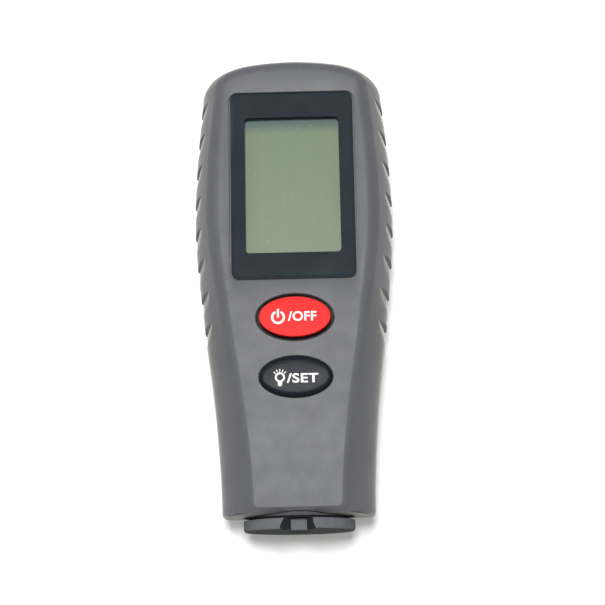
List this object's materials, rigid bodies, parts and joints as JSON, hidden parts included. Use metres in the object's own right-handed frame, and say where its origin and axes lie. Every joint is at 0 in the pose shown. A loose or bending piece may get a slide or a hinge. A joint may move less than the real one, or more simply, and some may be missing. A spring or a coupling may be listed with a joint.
{
  "type": "coating thickness gauge",
  "caption": "Pocket coating thickness gauge with a display window, oval keys, grip scallops and a sprung probe foot.",
  "frame": {"origin": "under the middle of the gauge, on the surface that it lies on", "axes": "+X to the right of the face, +Y from the probe foot towards the display end, +Z out of the face"},
  "size_m": [0.045, 0.1068, 0.027],
  "materials": {
    "case_plastic": "fine matt grain",
    "window_plastic": "polished, tinted",
    "display_glass": "satin",
    "red_plastic": "satin",
    "dark_plastic": "satin",
    "probe_plastic": "smooth matt",
    "white_plastic": "smooth",
    "black_plastic": "smooth",
    "rubber": "matt",
    "board_green": "solder mask",
    "nickel": "bright nickel plate",
    "spring_steel": "drawn wire",
    "screw_steel": "blackened",
    "copper": "enamelled copper wire",
    "cell_skin": "plain printed sleeve",
    "lead_skin": "insulation"
  },
  "bodies": {
    "case": {"front_case": "case_plastic", "rear_case": "case_plastic", "display_window": "window_plastic", "lcd_panel": "display_glass", "lcd_backlight": "white_plastic", "lcd_connector": "rubber", "lcd_frame": "white_plastic", "power_switch": "black_plastic", "unit_switch": "black_plastic", "circuit_board": "board_green", "main_chip": "black_plastic", "battery_cell_left": "cell_skin", "battery_cell_right": "cell_skin", "negative_spring": "nickel", "bridge_spring": "nickel", "positive_contact": "nickel", "negative_contact": "nickel", "bridge_contact": "nickel", "probe_guide": "black_plastic", "probe_holder": "black_plastic", "probe_bobbin": "black_plastic", "probe_coil": "copper", "probe_core": "nickel", "probe_lead_left": "lead_skin", "probe_lead_right": "lead_skin", "case_screw_display_left": "screw_steel", "case_screw_display_right": "screw_steel", "case_screw_probe_left": "screw_steel", "case_screw_probe_right": "screw_steel", "board_screw_left": "screw_steel", "board_screw_right": "screw_steel"},
    "power_key": {"power_button": "red_plastic", "power_plunger": "white_plastic"},
    "unit_key": {"unit_button": "dark_plastic", "unit_plunger": "white_plastic"},
    "battery_cover": {"battery_door": "case_plastic"},
    "probe": {"probe_sleeve": "probe_plastic", "retaining_ring": "spring_steel", "probe_spring": "spring_steel"}
  },
  "joints": [
    {"name": "power_key_press", "type": "slide", "parent": "case", "child": "power_key", "axis": [0, 0, -1], "range_m": [0, 0.0005], "stiffness_N_per_m": 800, "springref_m": -0.0005},
    {"name": "unit_key_press", "type": "slide", "parent": "case", "child": "unit_key", "axis": [0, 0, -1], "range_m": [0, 0.0005], "stiffness_N_per_m": 800, "springref_m": -0.0005},
    {"name": "battery_door_swing", "type": "hinge", "parent": "case", "child": "battery_cover", "pos_m": [0, 0.03475, 0.0009], "axis": [1, 0, 0], "range_deg": [0, 25]},
    {"name": "probe_press", "type": "slide", "parent": "case", "child": "probe", "axis": [0, 1, 0], "range_m": [0, 0.0008], "stiffness_N_per_m": 1000, "springref_m": -0.002, "deforming": ["probe_spring"]}
  ]
}
